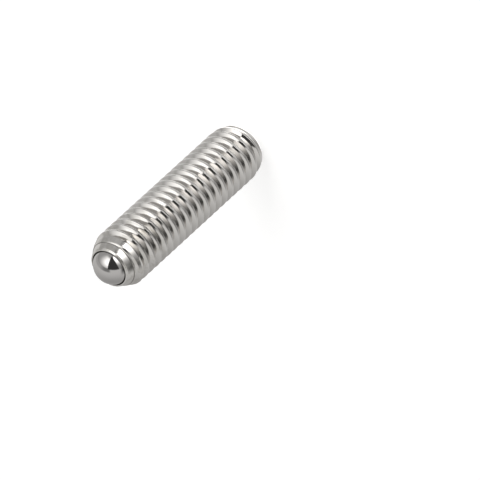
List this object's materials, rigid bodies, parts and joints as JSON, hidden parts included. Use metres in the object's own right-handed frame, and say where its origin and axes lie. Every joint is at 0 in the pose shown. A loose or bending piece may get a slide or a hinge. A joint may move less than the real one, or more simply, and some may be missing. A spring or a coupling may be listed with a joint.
{
  "type": "ball-ended grub screw",
  "caption": "Headless set screw with a full-length thread, a hexagon socket in its flat end, and a loose thrust ball held by a rolled lip at its tip.",
  "frame": {"origin": "centre of the flat ring at the socket end, which the screw stands on", "axes": "+Z along the screw's axis towards the ball; +X points at a corner of the hexagon socket"},
  "size_m": [0.006, 0.006, 0.0235],
  "materials": {
    "turned_steel": "bright turned and thread-rolled stainless steel",
    "polished_steel": "mirror-polished ball"
  },
  "bodies": {
    "screw": {"threaded_body": "turned_steel"},
    "ball": {"thrust_ball": "polished_steel"}
  },
  "joints": [
    {"name": "ball_turn", "type": "hinge", "parent": "screw", "child": "ball", "pos_m": [0, 0, 0.0215], "axis": [0, 0, 1], "continuous": true}
  ]
}
